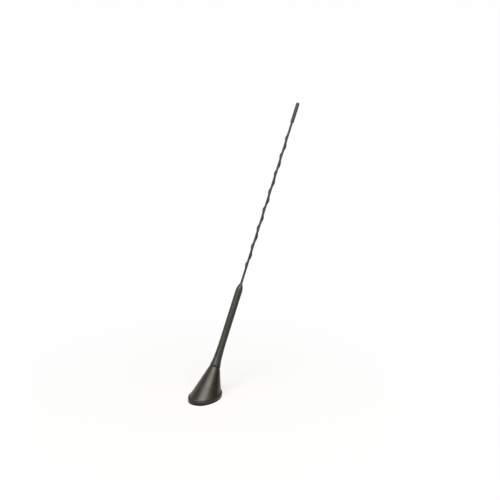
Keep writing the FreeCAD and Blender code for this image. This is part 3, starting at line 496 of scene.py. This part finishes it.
def oval_point(along, across, turn):
    """The place on a four-arc oval where its outward direction has this turn."""
    diagonal = math.hypot(along, across)
    short = (diagonal - along + across) / 2
    end_radius = short * diagonal / along
    side_radius = (diagonal - short) * diagonal / across
    across_turn, along_turn = abs(math.sin(turn)), abs(math.cos(turn))
    if math.atan2(across_turn, along_turn) <= math.atan2(side_radius - across, along - end_radius):
        x, y = along - end_radius + end_radius * along_turn, end_radius * across_turn
    else:
        x, y = side_radius * along_turn, across - side_radius + side_radius * across_turn
    return math.copysign(x, math.cos(turn)), math.copysign(y, math.sin(turn))


def cone_form(rings=40, sides=720):
    """The cover's cone as a fine net, from its oval foot to its round neck."""
    foot = Vector((0.0, 0.0, cone_foot_z))
    foot_edge = Vector((cone_along, 0.0, 0.0))
    neck_edge = Vector((math.cos(rake), 0.0, -math.sin(rake))) * neck_radius
    points, faces = [], []
    for ring in range(rings + 1):
        share = ring / rings
        front = foot.lerp(neck, share) - foot_edge.lerp(neck_edge, share)
        rear = foot.lerp(neck, share) + foot_edge.lerp(neck_edge, share)
        way = (rear - front).normalized()
        half = (rear - front).length / 2
        across = cone_across + (neck_radius - cone_across) * share
        for side in range(sides):
            x, y = oval_point(half, across, math.tau * side / sides)
            points.append((front + rear) / 2 + way * x + Vector((0.0, y, 0.0)))
    for start in range(0, rings * sides, sides):
        for side in range(sides):
            after = (side + 1) % sides
            faces.append((start + side, start + after, start + sides + after, start + sides + side))
    return BVHTree.FromPolygons(points, faces)


def even_cone(piece):
    """The cone's long facets take the cone's own normals, so that light runs along it unbroken."""
    form = cone_form()
    near, aligned = 0.12 * MM, 0.96
    mesh = piece.data
    normals = [corner.vector.copy() for corner in mesh.corner_normals]
    for face in mesh.polygons:
        _, way, _, gap = form.find_nearest(face.center)
        if gap < near and way.dot(face.normal) > aligned:
            for corner in face.loop_indices:
                point = mesh.vertices[mesh.loops[corner].vertex_index].co
                normals[corner] = form.find_nearest(point)[1]
    mesh.normals_split_custom_set(normals)


def on_bolt_wall(radius, z):
    """On the wall of the roof bolt's hole."""
    return abs(radius - bolt_core) < wall_margin and bolt_mouth - end_margin < z < bolt_end + end_margin


def on_stud_wall(radius, z):
    """On the wall of the mast's stud, with Z along the mast."""
    return abs(radius - stud_radius) < wall_margin and z < stud_shoulder + shoulder_margin


# Base
cover_shell = dress("cover_shell", "base_cover", "base", cover_moulding, angle=36.0)
even_cone(cover_shell)
dress("gasket_ring", "base_gasket", "base", gasket_rubber, angle=40.0)
plate_casting = merged_copy("plate_casting", "base_plate")
scale_round_axis(plate_casting, on_bolt_wall, bolt_radius / bolt_core)
join(plate_casting, thread_ridge(
    "bolt_thread", bolt_radius + thread_sink, bolt_core, bolt_pitch, bolt_turns, bolt_thread_low))
finish_piece(plate_casting, "base", zinc_casting, "base_plate", angle=34.0)
dress("earth_ring", "earth_washer", "base", plated_steel)
dress("cover_screw_set", "cover_screws", "base", plated_steel)
dress("jack_shell", "coax_shell", "base", turned_brass)
dress("jack_core", "coax_insulator", "base", jack_insulator)
dress("jack_pin", "coax_pin", "base", turned_brass)
dress("socket_insert", "mast_socket", "base", turned_brass)

# Circuit inside the base
dress("laminate", "amplifier_board", "base", board_laminate)
dress("laminate_screws", "board_screws", "base", plated_steel)
dress("chip_block", "amplifier_chip", "base", chip_moulding)
dress("coil_drum", "input_coil", "base", ferrite)
dress("capacitor_set", "capacitors", "base", ceramic)
dress("contact_strip", "contact_spring", "base", spring_bronze)

# Mast
dress("seal_ring", "mast_seal", "seal", seal_rubber)
dress("boot_sleeve", "mast_boot", "mast", boot_rubber)
dress("rod_core", "whip_rod", "mast", plated_steel)
dress("ribbed_jacket", "whip_jacket", "mast", whip_moulding, angle=50.0)
dress("end_cap", "tip_cap", "mast", cap_moulding)
stud_ferrule = merged_copy("stud_ferrule", "mast_ferrule")
place(stud_ferrule, lean.inverted())
scale_round_axis(stud_ferrule, on_stud_wall, stud_core / stud_radius)
join(stud_ferrule, thread_ridge(
    "stud_thread", stud_core - thread_sink, stud_radius, stud_pitch, stud_turns, stud_thread_low))
place(stud_ferrule, lean)
finish_piece(stud_ferrule, "mast", turned_nickel, "mast_ferrule", angle=34.0)


# Studio: a white floor, a white surround, soft lamps and black cards
floor_size = 12.0
paper_grey = (0.74, 0.74, 0.74, 1.0)
shadow_near, shadow_far = 0.05, 0.34
near_white, far_white = 0.70, 0.99
world_light = 0.085
lamp_aim = Vector((0.08, 0.0, 0.10))


def background_share(tree):
    """One where the camera, a reflection or a clear material looks, else zero."""
    path = tree.nodes.new("ShaderNodeLightPath")
    share = add_math(tree, "MAXIMUM", path.outputs["Is Camera Ray"], path.outputs["Is Glossy Ray"])
    return add_math(tree, "MAXIMUM", share, path.outputs["Is Transmission Ray"])


deselect()
bpy.ops.mesh.primitive_plane_add(size=floor_size, location=(0.0, 0.0, 0.0))
floor = bpy.context.object
floor.name = "floor"
floor_paper, floor_tree, floor_shader, floor_coordinates = new_material(
    "floor_paper", Base_Color=paper_grey, Roughness=1.0, Specular_IOR_Level=0.0)
floor_white = floor_tree.nodes.new("ShaderNodeEmission")
floor_blend = floor_tree.nodes.new("ShaderNodeMixShader")
# The paper's own light and shadow show near the base; far off it is plain white
floor_reach = floor_tree.nodes.new("ShaderNodeVectorMath")
floor_reach.operation = "LENGTH"
floor_tree.links.new(floor_coordinates, floor_reach.inputs[0])
plain_share = add_range(
    floor_tree, floor_reach.outputs["Value"], shadow_near, shadow_far, near_white, far_white)
white_share = add_math(floor_tree, "MULTIPLY", background_share(floor_tree), plain_share)
floor_tree.links.new(white_share, floor_blend.inputs[0])
floor_tree.links.new(floor_shader.outputs[0], floor_blend.inputs[1])
floor_tree.links.new(floor_white.outputs[0], floor_blend.inputs[2])
floor_tree.links.new(floor_blend.outputs[0], floor_tree.nodes["Material Output"].inputs["Surface"])
floor.data.materials.append(floor_paper)

world = bpy.data.worlds.new("surround")
scene.world = world
world.use_nodes = True
world_tree = world.node_tree
surround = world_tree.nodes["Background"]
surround.inputs["Color"].default_value = (1.0, 1.0, 1.0, 1.0)
surround_strength = add_math(world_tree, "MAXIMUM", background_share(world_tree), world_light)
world_tree.links.new(surround_strength, surround.inputs["Strength"])

card_black = new_material("card_black", Base_Color=(0.02, 0.02, 0.02, 1.0), Roughness=1.0)[0]


def face_base(item, azimuth, elevation, distance):
    """Places a lamp or card by its angles, and turns it to the base."""
    direction = way_out(azimuth, elevation)
    item.location = lamp_aim + direction * distance
    item.rotation_euler = direction.to_track_quat("Z", "Y").to_euler()


def add_lamp(name, azimuth, elevation, distance, across_size, depth_size, power, colour):
    """A soft lamp that faces the base."""
    lamp_data = bpy.data.lights.new(name, "AREA")
    lamp_data.shape = "RECTANGLE"
    lamp_data.size = across_size
    lamp_data.size_y = depth_size
    lamp_data.energy = power
    lamp_data.color = colour
    lamp = bpy.data.objects.new(name, lamp_data)
    scene.collection.objects.link(lamp)
    face_base(lamp, azimuth, elevation, distance)


def add_card(name, azimuth, elevation, distance, across_size, depth_size):
    """A black card that only reflections show: it darkens a flank and throws no shadow."""
    deselect()
    bpy.ops.mesh.primitive_plane_add(size=1.0)
    card = bpy.context.object
    card.name = name
    card.scale = (across_size, depth_size, 1.0)
    face_base(card, azimuth, elevation, distance)
    card.data.materials.append(card_black)
    card.visible_camera = False
    card.visible_diffuse = False
    card.visible_shadow = False
    card.visible_transmission = False


add_lamp(
    "key_lamp", azimuth=-54.0, elevation=72.0, distance=1.6, across_size=2.3, depth_size=0.5,
    power=40.5, colour=(1.0, 0.965, 0.92))
add_card("right_card", azimuth=60.0, elevation=20.0, distance=1.5, across_size=2.6, depth_size=1.5)
add_card("left_card", azimuth=-145.0, elevation=46.0, distance=1.5, across_size=1.3, depth_size=0.8)
add_lamp(
    "fill_lamp", azimuth=-114.0, elevation=48.0, distance=2.0, across_size=0.9, depth_size=0.6,
    power=7.0, colour=(1.0, 0.98, 0.96))
